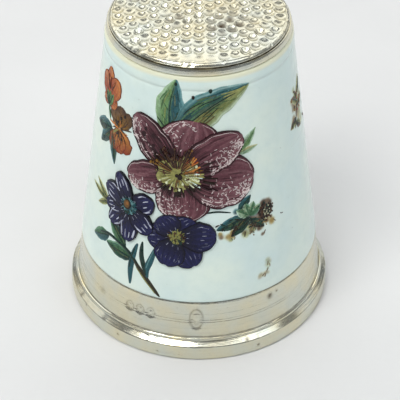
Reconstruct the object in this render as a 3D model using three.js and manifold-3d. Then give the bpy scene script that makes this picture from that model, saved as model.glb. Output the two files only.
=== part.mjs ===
// An enamelled silver-gilt sewing thimble, in millimetres, +Z up, standing on its open mouth.
//
// The metal is three pieces soldered together: a tapering side wall, a dimpled cap that closes the top
// and a foot rim round the mouth. A sleeve of white vitreous enamel fills the recess round the side wall,
// and a spray of flowers is painted on it in overglaze colours, each fired as a thin coat of its own.
//
// The origin is the centre of the mouth, on the plane that the thimble stands on. -Y is the front, where
// the big mauve flower is, and the azimuth of a flower is measured from there, positive towards +X.

import * as THREE from "three";
import { mergeVertices } from "three/addons/utils/BufferGeometryUtils.js";
import Module from "manifold-3d";

const wasm = await Module();
wasm.setup();

// ---- Driving dimensions ----

const HEIGHT = 24.0;
const RIM_RADIUS = 9.65;
const MOUTH_CONE_RADIUS = 9.3; // where the side's outer cone meets the plane of the mouth
const TAPER = 0.1244; // radius that the side loses for each millimetre of height
const WALL_THICKNESS = 0.45;
const ENAMEL_THICKNESS = 0.35;
const ENAMEL_FOOT = 4.7;
const ENAMEL_TOP = 22.75;
const WALL_TOP = 23.28;
const RIM_HEIGHT = 1.95;
const SEAM_GAP = 0.02; // the soldered or fused joint between two pieces
const SEGMENTS = 60; // round every lathed piece, so that their facets stay in step

const SIDE_THICKNESS = WALL_THICKNESS + ENAMEL_THICKNESS;
const CONE_LENGTH_SHARE = 1 / Math.hypot(1, TAPER);

// The outer cone of the finished side, which the enamel, the collar and the foot band share.
const coneRadius = (z) => MOUTH_CONE_RADIUS - TAPER * z;

// ---- Materials ----

const metal = (color, roughness) => new THREE.MeshStandardMaterial({ color, roughness, metalness: 1 });
const glaze = (color) => new THREE.MeshStandardMaterial({ color, roughness: 0.15, metalness: 0 });

const SILVER_GILT = metal(0xe3d3a6, 0.16);
const DIMPLED_SILVER_GILT = metal(0xe6dab8, 0.26);
const WHITE_ENAMEL = glaze(0xd8e4e0);
const MAUVE = glaze(0x6f4652);
const VIOLET = glaze(0x2f2350);
const GREEN = glaze(0x4f7350);
const TEAL = glaze(0x2d5a5c);
const OLIVE = glaze(0x8d9558);
const YELLOW_GREEN = glaze(0xa3a35a);
const ORANGE = glaze(0xc9602c);
const OCHRE = glaze(0x9c7030);
const SEPIA = glaze(0x4a4436);

// ---- Shaping helpers ----

const part = new THREE.Group();
const upright = new THREE.Group(); // turns a lathe's Y axis to +Z
upright.rotation.x = Math.PI / 2;
part.add(upright);

// The solid that a profile of [radius, height] points sweeps round the axis.
function lathe(profile) {
  const closed = profile[0][0] > 0 ? [...profile, profile[0]] : profile;
  return new THREE.LatheGeometry(closed.map(([r, z]) => new THREE.Vector2(r, z)), SEGMENTS);
}

// Points of an arc from one angle to another, both in degrees, as [radius, height].
function arc(centreR, centreZ, radius, from, to, steps) {
  return Array.from({ length: steps + 1 }, (_, i) => {
    const a = THREE.MathUtils.degToRad(from + ((to - from) * i) / steps);
    return [centreR + radius * Math.cos(a), centreZ + radius * Math.sin(a)];
  });
}

function toManifold(geometry) {
  const bare = geometry.clone();
  bare.deleteAttribute("normal");
  bare.deleteAttribute("uv");
  const merged = mergeVertices(bare, 1e-4);
  return new wasm.Manifold(
    new wasm.Mesh({
      numProp: 3,
      vertProperties: new Float32Array(merged.attributes.position.array),
      triVerts: new Uint32Array(merged.index.array),
    }),
  );
}

function toGeometry(solid) {
  const mesh = solid.getMesh();
  const geometry = new THREE.BufferGeometry();
  geometry.setAttribute("position", new THREE.BufferAttribute(mesh.vertProperties, 3));
  geometry.setIndex(new THREE.BufferAttribute(mesh.triVerts, 1));
  geometry.computeVertexNormals();
  return geometry;
}

function addMesh(group, name, geometry, material) {
  const mesh = new THREE.Mesh(geometry, material);
  mesh.name = name;
  group.add(mesh);
}

// ---- Side wall: the silver cone between the mouth and the cap ----

// Its middle is turned back by the enamel's thickness, so that a foot band and a collar stay proud of it.
function sideWall() {
  const inner = (z) => coneRadius(z) - SIDE_THICKNESS;
  const recess = (z) => coneRadius(z) - ENAMEL_THICKNESS;
  const mouthEase = 0.15;
  return lathe([
    [inner(WALL_TOP), WALL_TOP],
    [inner(mouthEase), mouthEase],
    [inner(0) + mouthEase, 0],
    [coneRadius(0), 0],
    [coneRadius(ENAMEL_FOOT), ENAMEL_FOOT],
    [recess(ENAMEL_FOOT), ENAMEL_FOOT],
    [recess(ENAMEL_TOP), ENAMEL_TOP],
    [coneRadius(ENAMEL_TOP), ENAMEL_TOP],
    [coneRadius(WALL_TOP), WALL_TOP],
  ]);
}

// ---- Foot rim: a half-round strip soldered round the outside of the mouth ----

function footRim() {
  const shoulder = 0.5;
  const sole = 0.2;
  const flank = RIM_RADIUS - 0.03;
  return lathe([
    [coneRadius(0) + SEAM_GAP, 0],
    [RIM_RADIUS - sole, 0],
    ...arc(RIM_RADIUS - sole, sole, sole, -60, 0, 2),
    [RIM_RADIUS, 0.75],
    [flank, 1.1],
    ...arc(flank - shoulder, 1.1, shoulder, 20, 70, 4),
    [coneRadius(RIM_HEIGHT) + 0.08, RIM_HEIGHT],
    [coneRadius(RIM_HEIGHT) + SEAM_GAP, RIM_HEIGHT],
  ]);
}

// ---- Dimpled cap: a low dome whose rings of pits hold the needle's head ----

const CAP_SETBACK = 0.12; // the ledge that the soldered joint leaves round the cap
const CAP_RADIUS = coneRadius(WALL_TOP) - CAP_SETBACK;
const CAP_SHOULDER = 0.33;
const CAP_SEAT = WALL_TOP + SEAM_GAP;
const CAP_PLUG_RADIUS = coneRadius(WALL_TOP) - SIDE_THICKNESS - 0.08;
const CAP_UNDERSIDE = CAP_SEAT - 0.3;
const DOME_RADIUS = CAP_RADIUS - CAP_SHOULDER;
const DOME_EDGE = CAP_SEAT + CAP_SHOULDER;

const DIMPLE_PITCH = 0.8;
const DIMPLE_RINGS = 7;
const DIMPLE_RADIUS = 0.31;
const DIMPLE_DEPTH = 0.17;

const domeHeight = (r) => HEIGHT - (HEIGHT - DOME_EDGE) * (r / DOME_RADIUS) ** 2;

// A plug under the cap centres it in the side wall.
function capBlank() {
  return lathe([
    [0, CAP_UNDERSIDE],
    [CAP_PLUG_RADIUS, CAP_UNDERSIDE],
    [CAP_PLUG_RADIUS, CAP_SEAT],
    ...arc(DOME_RADIUS, CAP_SEAT, CAP_SHOULDER, 0, 90, 4),
    [DOME_RADIUS / 2, domeHeight(DOME_RADIUS / 2)],
    [0, HEIGHT],
  ]);
}

// Ring k holds 6k pits, which keeps them evenly packed, with one more at the centre.
function dimpledCap() {
  const punchOversize = 1.15; // the punch that cuts a pit stands this much above the dome
  const punchHeight = punchOversize * DIMPLE_DEPTH;
  const punch = new THREE.ConeGeometry(punchOversize * DIMPLE_RADIUS, punchHeight, 6);
  punch.rotateX(Math.PI).translate(0, punchHeight / 2 - DIMPLE_DEPTH, 0);
  let cap = toManifold(capBlank());
  for (let ring = 0; ring <= DIMPLE_RINGS; ring++) {
    const count = Math.max(1, 6 * ring);
    const r = ring * DIMPLE_PITCH;
    for (let i = 0; i < count; i++) {
      const turn = (2 * Math.PI * (i + 0.5 * (ring % 2))) / count;
      const placed = punch.clone().translate(r * Math.cos(turn), domeHeight(r), r * Math.sin(turn));
      cap = cap.subtract(toManifold(placed));
    }
  }
  return toGeometry(cap);
}

// ---- Enamel sleeve: white glass fused in the recess of the side wall ----

// A shallow groove runs round it just under its upper edge.
const GROOVE_HEIGHT = ENAMEL_TOP - 1.05;
const GROOVE_DEPTH = 0.06;

function enamelSleeve() {
  const back = (z) => coneRadius(z) - ENAMEL_THICKNESS + SEAM_GAP;
  const foot = ENAMEL_FOOT + SEAM_GAP;
  const top = ENAMEL_TOP - SEAM_GAP;
  const ease = 0.12;
  return lathe([
    [back(top), top],
    [back(foot), foot],
    [coneRadius(foot) - ease / 2, foot],
    [coneRadius(foot + ease), foot + ease],
    [coneRadius(GROOVE_HEIGHT - 0.4), GROOVE_HEIGHT - 0.4],
    [coneRadius(GROOVE_HEIGHT) - GROOVE_DEPTH, GROOVE_HEIGHT],
    [coneRadius(GROOVE_HEIGHT + 0.35), GROOVE_HEIGHT + 0.35],
    [coneRadius(top - ease), top - ease],
    [coneRadius(top) - ease / 2, top],
  ]);
}

// ---- Painted coats: thin patches of overglaze enamel on the white ----

// Coats lie one on another in layers, so that a flower can cross the stems and leaves behind it.
const COAT_THICKNESS = 0.03;
const COAT_PITCH = 0.035;
const FIRST_COAT = 0.01;

// The whole cone of one layer, which a motif's outline then cuts its own patch out of.
function coatShell(layer) {
  const under = FIRST_COAT + layer * COAT_PITCH;
  const over = under + COAT_THICKNESS;
  const foot = ENAMEL_FOOT + 0.2;
  const top = ENAMEL_TOP - 0.2;
  return lathe([
    [coneRadius(top) + under, top],
    [coneRadius(foot) + under, foot],
    [coneRadius(foot) + over, foot],
    [coneRadius(top) + over, top],
  ]);
}

const point = (x, y) => new THREE.Vector2(x, y);

// A petal is an ellipse from the flower's centre outwards, in a direction in degrees from the right.
function petal(direction, reach, width) {
  const turn = THREE.MathUtils.degToRad(direction);
  const length = reach / 2;
  const middle = point(length, 0).rotateAround(point(0, 0), turn);
  return new THREE.Shape().absellipse(middle.x, middle.y, length, width / 2, 0, 2 * Math.PI, false, turn);
}

const disc = (radius) => new THREE.Shape().absarc(0, 0, radius, 0, 2 * Math.PI);

// A leaf is a pointed lens from its stalk to its tip.
function leaf([x, y], direction, length, width) {
  const along = point(1, 0).rotateAround(point(0, 0), THREE.MathUtils.degToRad(direction));
  const across = point(-along.y, along.x).multiplyScalar(width);
  const stalk = point(x, y);
  const middle = stalk.clone().addScaledVector(along, length / 2);
  const tip = stalk.clone().addScaledVector(along, length);
  const left = middle.clone().add(across);
  const right = middle.clone().sub(across);
  return new THREE.Shape()
    .moveTo(stalk.x, stalk.y)
    .quadraticCurveTo(right.x, right.y, tip.x, tip.y)
    .quadraticCurveTo(left.x, left.y, stalk.x, stalk.y);
}

// A stem is a ribbon of one width along a smooth curve through its points.
function stem(width, ...points) {
  const curve = new THREE.SplineCurve(points.map(([x, y]) => point(x, y)));
  const steps = 4 * (points.length - 1);
  const sides = [[], []];
  for (let i = 0; i <= steps; i++) {
    const at = curve.getPoint(i / steps);
    const tangent = curve.getTangent(i / steps);
    const offset = point(-tangent.y, tangent.x).multiplyScalar(width / 2);
    sides[0].push(at.clone().add(offset));
    sides[1].unshift(at.clone().sub(offset));
  }
  return new THREE.Shape(sides.flat().reverse());
}

// Cuts the outline of a motif, drawn flat in millimetres round its centre, out of its layer of the cone.
function coat({ azimuth, height, layer, shapes }) {
  const reachIn = 4.5; // the outlines are cut this far behind the plane they are drawn on
  const reachOut = 1.0;
  const turn = THREE.MathUtils.degToRad(azimuth);
  const radius = coneRadius(height);
  const across = new THREE.Vector3(Math.cos(turn), 0, -Math.sin(turn));
  const outward = new THREE.Vector3(Math.sin(turn), 0, Math.cos(turn));
  const placed = new THREE.Matrix4()
    .makeBasis(across, new THREE.Vector3(0, 1, 0), outward)
    .setPosition(outward.clone().multiplyScalar(radius).setY(height));
  const options = { depth: reachIn + reachOut, bevelEnabled: false, curveSegments: 6 };
  const cutters = shapes.map((shape) => {
    const prism = new THREE.ExtrudeGeometry(shape, options).translate(0, 0, -reachIn);
    return toManifold(prism.applyMatrix4(placed));
  });
  const outline = cutters.reduce((joined, cutter) => joined.add(cutter));
  return toGeometry(toManifold(coatShell(layer)).intersect(outline));
}

// Azimuths in degrees from the front, heights above the mouth and outlines in millimetres.
const MOTIFS = [
  {
    name: "mauve_flower", material: MAUVE, azimuth: -11, height: 15.3, layer: 1,
    shapes: [
      petal(121, 4.7, 2.9), petal(74, 4.3, 3.2), petal(36, 4.9, 2.8),
      petal(-8, 5.2, 3.6), petal(-80, 3.8, 3.5), petal(197, 4.0, 2.2),
    ],
  },
  {
    name: "mauve_flower_heart", material: YELLOW_GREEN, azimuth: -11, height: 15.3, layer: 2,
    shapes: [disc(0.95), leaf([0, 0], 96, 1.9, 1.2), leaf([0, 0], 24, 1.9, 1.0)],
  },
  {
    name: "violet_flower_right", material: VIOLET, azimuth: -11, height: 10.2, layer: 2,
    shapes: [
      petal(0, 2.75, 2.2), petal(52, 1.9, 1.7), petal(128, 1.9, 1.9),
      petal(190, 2.1, 2.1), petal(-62, 2.7, 2.1), petal(-108, 2.6, 2.0),
    ],
  },
  {
    name: "violet_flower_left", material: VIOLET, azimuth: -37, height: 11.6, layer: 3,
    shapes: [
      petal(118, 2.5, 1.3), petal(160, 2.7, 1.5), petal(196, 2.4, 1.3), petal(228, 2.7, 1.4),
      petal(266, 3.0, 1.5), petal(318, 2.4, 1.5), petal(30, 2.2, 1.7),
    ],
  },
  {
    name: "violet_flower_right_eye", material: OLIVE, azimuth: -11, height: 10.2, layer: 3,
    shapes: [disc(0.62)],
  },
  {
    name: "violet_flower_left_eye", material: TEAL, azimuth: -37, height: 11.7, layer: 4,
    shapes: [disc(0.68)],
  },
  {
    name: "top_leaf_left", material: GREEN, azimuth: -17, height: 18.6, layer: 0,
    shapes: [leaf([0.1, 0], 92, 3.7, 1.9)],
  },
  {
    name: "top_leaf_right", material: GREEN, azimuth: -6, height: 19, layer: 0,
    shapes: [leaf([-0.6, -0.4], 36, 5.2, 1.6)],
  },
  {
    name: "orange_bud", material: ORANGE, azimuth: -62, height: 19.4, layer: 0,
    shapes: [
      petal(100, 1.5, 1.0), petal(40, 1.6, 0.9), petal(205, 1.8, 1.0), leaf([0, -1.5], 95, 1.7, 0.5),
    ],
  },
  {
    name: "ochre_blossom", material: OCHRE, azimuth: -50, height: 17.2, layer: 0,
    shapes: [petal(90, 1.7, 1.7), petal(-75, 1.8, 1.7), petal(180, 0.9, 1.9)],
  },
  {
    name: "teal_leaves", material: TEAL, azimuth: -60, height: 16.3, layer: 0,
    shapes: [
      leaf([0.5, 0.5], 205, 2.4, 0.9), leaf([0.5, 0.5], 237, 2.1, 0.8), leaf([0.4, 0.6], 280, 2.6, 0.6),
      stem(0.2, [0.2, 0.3], [0.7, 0.7]),
    ],
  },
  {
    name: "olive_sprig", material: OLIVE, azimuth: -61, height: 11.2, layer: 0,
    shapes: [
      leaf([1.0, -0.3], 152, 1.4, 0.5), leaf([1.3, -0.4], 176, 2.6, 0.45),
      stem(0.2, [0.7, -0.3], [1.5, -0.5]),
    ],
  },
  {
    name: "leafy_stem", material: GREEN, azimuth: -38, height: 7.4, layer: 0,
    shapes: [
      stem(0.28, [-3.0, 0.5], [-1.6, 0.9], [0.2, 0.4], [1.5, -1.0], [2.5, -2.4]),
      leaf([-1.9, 0.8], 214, 1.5, 0.7), leaf([-0.1, 0.5], 137, 1.7, 0.7), leaf([0.5, 0.2], 182, 2.1, 0.8),
    ],
  },
  {
    name: "violet_stem", material: TEAL, azimuth: -24, height: 7.9, layer: 1,
    shapes: [
      stem(0.32, [0.4, 1.0], [-0.1, -0.4], [-0.2, -1.7]),
      stem(0.3, [-0.7, 1.2], [-0.6, -0.2], [-0.2, -1.7]),
    ],
  },
  {
    name: "drooping_stem", material: TEAL, azimuth: -34, height: 7.3, layer: 1,
    shapes: [stem(0.3, [0.3, 1.6], [-0.1, 0.2], [-0.1, -2.1])],
  },
  {
    name: "small_sprig", material: OLIVE, azimuth: 28, height: 17.2, layer: 0,
    shapes: [
      leaf([-0.5, -0.4], 42, 1.7, 0.5), leaf([-0.6, -0.45], 5, 1.3, 0.4),
      stem(0.15, [-0.8, -0.7], [-0.2, -0.2]),
    ],
  },
  {
    name: "berry_sprig", material: SEPIA, azimuth: 25, height: 11.2, layer: 0,
    shapes: [
      stem(0.3, [-3.2, 0.9], [-1.4, 0.9], [0, -0.1], [1.5, -0.3]), leaf([-0.4, 0.3], 205, 1.9, 0.9),
      leaf([-0.6, 0.7], 48, 1.6, 0.6), petal(10, 2.2, 1.3), petal(-75, 1.4, 1.2), petal(70, 1.3, 1.2),
    ],
  },
  {
    name: "side_spray", material: SEPIA, azimuth: 74, height: 17.2, layer: 0,
    shapes: [
      stem(0.2, [-0.9, -1.2], [-0.3, 0], [0.4, 1.7]), petal(60, 1.6, 0.9), petal(150, 1.3, 0.9),
      petal(250, 1.5, 0.9), petal(-40, 1.3, 0.8),
    ],
  },
];

// ---- The assembled thimble ----

addMesh(upright, "side_wall", sideWall(), SILVER_GILT);
addMesh(upright, "foot_rim", footRim(), SILVER_GILT);
addMesh(upright, "dimpled_cap", dimpledCap(), DIMPLED_SILVER_GILT);
addMesh(upright, "enamel_sleeve", enamelSleeve(), WHITE_ENAMEL);
for (const motif of MOTIFS) {
  addMesh(upright, motif.name, coat(motif), motif.material);
}

export default part;
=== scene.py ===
"""The looks of an enamelled silver-gilt thimble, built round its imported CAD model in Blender 4.5.

Shapes are worked out in millimetres and turned to metres when a mesh is made. +Z is up the thimble's axis
and -Y is its front. An azimuth is measured round the axis from the front, positive towards +X.
"""

import math

import bmesh
import bpy
import numpy as np
from mathutils import Matrix, Vector


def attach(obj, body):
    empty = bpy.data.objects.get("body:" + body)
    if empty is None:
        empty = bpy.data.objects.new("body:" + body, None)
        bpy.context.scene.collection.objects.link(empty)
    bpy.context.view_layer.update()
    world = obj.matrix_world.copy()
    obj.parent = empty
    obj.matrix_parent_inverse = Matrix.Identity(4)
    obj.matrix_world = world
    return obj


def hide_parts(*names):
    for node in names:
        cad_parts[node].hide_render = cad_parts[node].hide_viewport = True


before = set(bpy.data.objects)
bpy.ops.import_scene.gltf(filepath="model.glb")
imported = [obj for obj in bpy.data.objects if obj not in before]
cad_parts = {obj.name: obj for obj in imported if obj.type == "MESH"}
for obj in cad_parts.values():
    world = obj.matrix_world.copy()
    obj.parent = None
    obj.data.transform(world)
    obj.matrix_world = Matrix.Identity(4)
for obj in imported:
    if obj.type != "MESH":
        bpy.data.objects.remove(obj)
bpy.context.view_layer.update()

MM = 0.001
SEED = 7

# ---- The thimble's own sizes, in millimetres, as in the CAD model ----

MOUTH_CONE_RADIUS = 9.3
TAPER = 0.1244
TILT = math.atan(TAPER)
WALL_THICKNESS = 0.45
ENAMEL_THICKNESS = 0.35
ENAMEL_FOOT = 4.7
ENAMEL_TOP = 22.75
WALL_TOP = 23.28
RIM_RADIUS = 9.65
RIM_HEIGHT = 1.95
HEIGHT = 24.0
INSIDE = -WALL_THICKNESS - ENAMEL_THICKNESS  # from the cone to the wall's inner face
CAP_RADIUS = 6.28
CAP_UNDERSIDE = 23.0
CAP_PLUG_RADIUS = 5.5

COLUMNS = 640  # points round every turned piece
FULL_TURN = 2 * math.pi


def cone_radius(z):
    return MOUTH_CONE_RADIUS - TAPER * z


# ---- Meshes ----


class Skin:
    """Gathers grids of points into one mesh, with a value kept at each point."""

    def __init__(self):
        self.points = []
        self.values = []
        self.faces = []
        self.count = 0

    def add_grid(self, points, values, closed=False):
        """points is rows by columns by 3. Faces look out where columns run left to right and rows run up."""
        rows, columns = points.shape[:2]
        index = self.count + np.arange(rows * columns).reshape(rows, columns)
        if closed:
            index = np.hstack([index, index[:, :1]])
        corners = [index[:-1, :-1], index[:-1, 1:], index[1:, 1:], index[1:, :-1]]
        self.faces.append(np.stack(corners, axis=-1).reshape(-1, 4))
        self.points.append(points.reshape(-1, 3))
        values = np.broadcast_to(values, (rows, columns, values.shape[2]))
        self.values.append(values.reshape(rows * columns, -1))
        self.count += rows * columns

    def build(self, name, attribute, material):
        mesh = bpy.data.meshes.new(name)
        points = np.concatenate(self.points) * MM
        mesh.from_pydata(points.tolist(), [], np.concatenate(self.faces).tolist())
        values = np.concatenate(self.values)
        kind, field = ("FLOAT", "value") if values.shape[1] == 1 else ("FLOAT_COLOR", "color")
        layer = mesh.attributes.new(attribute, kind, "POINT")
        layer.data.foreach_set(field, values.ravel())
        tidy = bmesh.new()
        tidy.from_mesh(mesh)
        bmesh.ops.remove_doubles(tidy, verts=tidy.verts, dist=1e-8)
        tidy.to_mesh(mesh)
        tidy.free()
        mesh.shade_smooth()
        mesh.set_sharp_from_angle(angle=math.radians(50))
        mesh.materials.append(material)
        thing = bpy.data.objects.new(name, mesh)
        bpy.context.scene.collection.objects.link(thing)
        return thing


def place(thing, slot, *nodes):
    """The piece stands for these CAD nodes, and the whole thimble is one body."""
    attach(thing, "root")
    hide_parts(*nodes)


def fill(corners, step):
    """Points along straight runs between the corners, at most a step apart."""
    corners = np.array(corners, float)
    runs = []
    for start, end in zip(corners[:-1], corners[1:]):
        count = max(1, math.ceil(np.linalg.norm(end[:2] - start[:2]) / step))
        runs.append(start + (end - start) * np.arange(count)[:, None] / count)
    return np.vstack([*runs, corners[-1:]])


def arc(centre, radius, start, end, count=8):
    """Points [radius, height, darkening] round part of a circle, from one angle in degrees to another."""
    turns = np.radians(np.linspace(start, end, count + 1))
    return [[centre[0] + radius * math.cos(t), centre[1] + radius * math.sin(t), 0] for t in turns]


def turned(name, profile, material, relief=None, darkening=None):
    """Spins a profile of [radius, height, darkening] rows, up the outside and down the inside, round the
    axis.

    relief(azimuth, radius, height) gives how far each point stands out along the profile's normal, and
    darkening(azimuth, radius, height) how much more it is darkened, by tarnish spots and by painted shade.
    """
    profile = np.array(profile, float)
    along = np.gradient(profile[:, :2], axis=0)
    normal = np.stack([along[:, 1], -along[:, 0]], axis=1)
    normal /= np.maximum(np.linalg.norm(normal, axis=1, keepdims=True), 1e-9)
    azimuth = np.linspace(0, FULL_TURN, COLUMNS, endpoint=False)[None, :]
    radius = profile[:, :1]
    height = profile[:, 1:2]
    tarnish_and_shade = profile[:, 2:] + np.zeros((1, COLUMNS))
    if darkening:
        tarnish_and_shade = tarnish_and_shade + darkening(azimuth, radius, height)
    out = relief(azimuth, radius, height) if relief else np.zeros((len(profile), COLUMNS))
    radius = radius + out * normal[:, :1]
    height = height + out * normal[:, 1:2]
    points = np.stack([radius * np.sin(azimuth), -radius * np.cos(azimuth), height + 0 * azimuth], axis=-1)
    skin = Skin()
    skin.add_grid(points, tarnish_and_shade[..., None], closed=True)
    return skin.build(name, "tarnish_and_shade", material)


def bell(x):
    """1 at 0, falling smoothly to 0 on both sides."""
    return np.exp(-(x**2))


def turn_from(azimuth, middle):
    """The angle from middle to azimuth, the shorter way round."""
    return (azimuth - middle + math.pi) % FULL_TURN - math.pi


def spot(azimuth, radius, height, middle, level, size):
    """1 at one place on the side, falling to 0 round it over about size millimetres."""
    across = turn_from(azimuth, middle) * radius
    return np.exp(-(across**2 + (height - level) ** 2) / size**2)


def wander(azimuth, waves, random):
    """A smooth random wave round the thimble, about 1 high, made of the first few whole harmonics."""
    total = 0
    for k in range(2, 2 + waves):
        size = random.normal() / math.sqrt(waves)
        total = total + size * np.cos(k * azimuth + random.uniform(0, FULL_TURN))
    return total


# ---- Materials ----


class Tree:
    """A material's node tree, with short calls for the nodes that these materials use."""

    def __init__(self, name):
        self.material = bpy.data.materials.new(name)
        self.material.use_nodes = True
        self.nodes = self.material.node_tree.nodes
        self.shader = self.nodes["Principled BSDF"]
        self.millimetres = self.vector("SCALE", self.add("ShaderNodeTexCoord").outputs["Object"], 1 / MM)

    def add(self, kind, settings=(), **inputs):
        node = self.nodes.new(kind)
        for key, value in dict(settings).items():
            setattr(node, key, value)
        for key, value in inputs.items():
            self.feed(node.inputs[key], value)
        return node

    def feed(self, socket, value):
        if isinstance(value, bpy.types.NodeSocket):
            self.material.node_tree.links.new(value, socket)
        else:
            socket.default_value = value

    def vector(self, operation, value, other):
        node = self.add("ShaderNodeVectorMath", {"operation": operation})
        self.feed(node.inputs[0], value)
        self.feed(node.inputs["Scale" if operation == "SCALE" else 1], other)
        return node.outputs[0]

    def stretched(self, x, y, z):
        """Object coordinates in millimetres, stretched for streaks and grain."""
        return self.vector("MULTIPLY", self.millimetres, (x, y, z))

    def noise(self, scale, detail=3, vector=None, roughness=0.5):
        vector = self.millimetres if vector is None else vector
        return self.add(
            "ShaderNodeTexNoise", Vector=vector, Scale=scale, Detail=detail, Roughness=roughness
        ).outputs["Fac"]

    def spread(self, value, low, high, to_low=0.0, to_high=1.0):
        """value taken from one range to another and held inside it."""
        names = {"Value": value, "From Min": low, "From Max": high, "To Min": to_low, "To Max": to_high}
        return self.add("ShaderNodeMapRange", **names).outputs["Result"]

    def math(self, operation, a, b):
        node = self.add("ShaderNodeMath", {"operation": operation})
        self.feed(node.inputs[0], a)
        self.feed(node.inputs[1], b)
        return node.outputs[0]

    def mix(self, factor, a, b, blend="MIX"):
        node = self.add("ShaderNodeMix", {"data_type": "RGBA", "blend_type": blend})
        self.feed(node.inputs[0], factor)
        for socket, value in ((node.inputs[6], a), (node.inputs[7], b)):
            self.feed(socket, (*value, 1) if isinstance(value, tuple) else value)
        return node.outputs[2]

    def attribute(self, name, output):
        return self.add("ShaderNodeAttribute", {"attribute_name": name}).outputs[output]

    def bump(self, height, depth, below=None):
        """depth is the height of the relief in millimetres."""
        node = self.add("ShaderNodeBump", Height=height, Distance=depth * MM)
        if below is not None:
            self.feed(node.inputs["Normal"], below)
        return node.outputs["Normal"]

    def finish(self, **inputs):
        for key, value in inputs.items():
            self.feed(self.shader.inputs[key.replace("_", " ")], value)
        return self.material


SILVER = (0.66, 0.69, 0.62)
PALE_GOLD = (0.77, 0.70, 0.48)
TARNISH_AND_SHADE = (0.07, 0.042, 0.02)
TURNING_TONE = (0.45, 0.40, 0.31)  # the darker metal in the finest turned lines
GILDING = 0.8


def silver_gilt(name, polish):
    """Gilding rubbed thin over silver, with turning lines and fine scratches, darkened in the creases, in
    tarnish spots and by painted shade.
    """
    tree = Tree(name)
    turning = tree.noise(1.0, 4, tree.stretched(0.35, 0.35, 14))
    rubbed = tree.spread(tree.noise(0.45, 4), 0.35, 0.65)
    metal = tree.mix(tree.math("MULTIPLY", rubbed, GILDING), SILVER, PALE_GOLD)
    metal = tree.mix(tree.spread(turning, 0.3, 0.7, 0, 0.16), metal, TURNING_TONE)
    specks = tree.spread(tree.noise(5.5, 5, roughness=0.7), 0.60, 0.72)
    patches = tree.spread(tree.noise(1.7, 4), 0.25, 0.6, 0.35)
    # The attribute read here darkens the metal: tarnish spots, darker creases and joints, painted shade in
    # the cap's dimples and round the punches, and painted dark reflections on the cap.
    tarnish_and_shade = tree.math("MULTIPLY", tree.attribute("tarnish_and_shade", "Fac"), patches)
    dull = tree.math("MAXIMUM", tarnish_and_shade, tree.math("MULTIPLY", specks, 0.35))
    scratches = tree.noise(2.2, 6, tree.stretched(1.0, 1.0, 5), 0.65)
    rubbed_bright = tree.spread(scratches, 0.3, 0.75, polish, polish + 0.16)
    roughness = tree.math("ADD", rubbed_bright, tree.math("MULTIPLY", dull, 0.4))
    lines = tree.bump(turning, 0.012)
    return tree.finish(
        Base_Color=tree.mix(dull, metal, TARNISH_AND_SHADE),
        Metallic=1.0,
        Roughness=roughness,
        Normal=tree.bump(scratches, 0.006, lines),
    )


ENAMEL_SPECULAR = 0.25
ENAMEL_BLUISH = (0.69, 0.84, 0.83)
ENAMEL_GREENISH = (0.79, 0.90, 0.82)
ENAMEL_CLOUD = (0.60, 0.75, 0.73)
ENAMEL_LIP = (0.82, 0.80, 0.57)
ENAMEL_STAIN_AND_SHADE = (0.28, 0.26, 0.22)


class Glass:
    """The look of the bare enamel: opaque milky glass, a little bluer and greener in drifts."""

    def __init__(self, tree):
        drift = tree.mix(tree.spread(tree.noise(0.22, 3), 0.3, 0.7), ENAMEL_BLUISH, ENAMEL_GREENISH)
        cloud = tree.spread(tree.noise(1.3, 5, roughness=0.6), 0.45, 0.75, 0, 0.3)
        self.colour = tree.mix(cloud, drift, ENAMEL_CLOUD)
        self.roughness = tree.spread(tree.noise(1.1, 4), 0.3, 0.7, 0.10, 0.22)
        self.normal = tree.bump(tree.noise(0.55, 2), 0.02)


def white_enamel():
    """The bare enamel, cream where it thins over the gilding at its upper lip, with a few pits and a painted
    shadow line along its groove.
    """
    tree = Tree("white_enamel")
    glass = Glass(tree)
    height = tree.add("ShaderNodeSeparateXYZ", Vector=tree.millimetres).outputs["Z"]
    lip = tree.spread(height, ENAMEL_TOP - 0.42, ENAMEL_TOP - 0.2)
    milk = tree.mix(tree.math("MULTIPLY", lip, 0.75), glass.colour, ENAMEL_LIP)
    pits = tree.spread(tree.noise(2.6, 2), 0.76, 0.80, 0, 0.5)
    darkening = tree.math("MAXIMUM", pits, tree.attribute("tarnish_and_shade", "Fac"))
    return tree.finish(
        Base_Color=tree.mix(darkening, milk, ENAMEL_STAIN_AND_SHADE),
        Roughness=glass.roughness,
        Normal=glass.normal,
        Specular_IOR_Level=ENAMEL_SPECULAR,
    )


def overglaze():
    """Painted colour from the coats' own points, mottled as a fired brush stroke is.

    Each point's alpha says how far its colour hides the bare enamel, which a thin wash lets through.
    """
    tree = Tree("overglaze")
    glass = Glass(tree)
    hidden = tree.attribute("paint", "Alpha")
    mottle = tree.spread(tree.noise(3.2, 5, roughness=0.65), 0.3, 0.7, 0.7, 1.24)
    grain = tree.spread(tree.noise(11, 3), 0.3, 0.7, 0.9, 1.12)
    shade = tree.math("MULTIPLY", mottle, grain)
    paint = tree.vector("SCALE", tree.attribute("paint", "Color"), shade)
    dullness = tree.math("MULTIPLY", hidden, 0.14)
    return tree.finish(
        Base_Color=tree.mix(hidden, glass.colour, paint),
        Roughness=tree.math("ADD", glass.roughness, dullness),
        Normal=tree.bump(tree.math("MULTIPLY", hidden, tree.noise(7, 4)), 0.02, glass.normal),
        Specular_IOR_Level=ENAMEL_SPECULAR,
    )


# ---- The metal ----


def on_cone(z, tarnish_and_shade, out=0.0):
    """A profile's row that stands this far out from the cone."""
    return [cone_radius(z) + out, z, tarnish_and_shade]


def foot_band():
    """Rows from under the rim up to the step behind the enamel's foot."""
    hidden = [on_cone(RIM_HEIGHT - 0.3, 1), on_cone(RIM_HEIGHT - 0.15, 0.5)]
    face = fill([on_cone(RIM_HEIGHT, 0.08), on_cone(ENAMEL_FOOT - 0.12, 0)], 0.05)
    step = [on_cone(ENAMEL_FOOT, 0.3, -0.05), on_cone(ENAMEL_FOOT, 1, -ENAMEL_THICKNESS)]
    return [*hidden, *face.tolist(), *step]


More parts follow.
